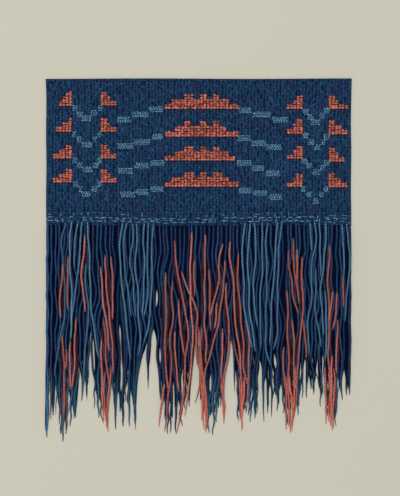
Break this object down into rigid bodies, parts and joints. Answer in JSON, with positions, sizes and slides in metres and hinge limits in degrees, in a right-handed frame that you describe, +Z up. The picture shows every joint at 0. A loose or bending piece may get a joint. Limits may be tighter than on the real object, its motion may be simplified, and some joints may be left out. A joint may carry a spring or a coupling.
{
  "type": "coverlet, a cut length with its fringe",
  "caption": "Flat cut length of a navy wool coverlet with stepped coral figures, light-blue floats and a long wavy fringe of loose yarns along its heading.",
  "frame": {"origin": "middle of the footprint, on the surface that the cloth lies on", "axes": "+X along the heading, +Y up the cloth away from the fringe, +Z up out of the cloth's face"},
  "size_m": [0.2808, 0.3336, 0.0028],
  "materials": {
    "navy_wool": "matt ribbed weave of navy wool, a little uneven in shade",
    "deep_navy_wool": "matt loosely spun navy yarns, dark between the strands",
    "coral_wool": "matt coral wool, floats in the cloth and yarns in the fringe",
    "sky_wool": "matt light-blue wool, floats, heading stitches and fringe yarns"
  },
  "bodies": {
    "root": {"cloth": "navy_wool", "fringe": "deep_navy_wool"}
  },
  "joints": []
}
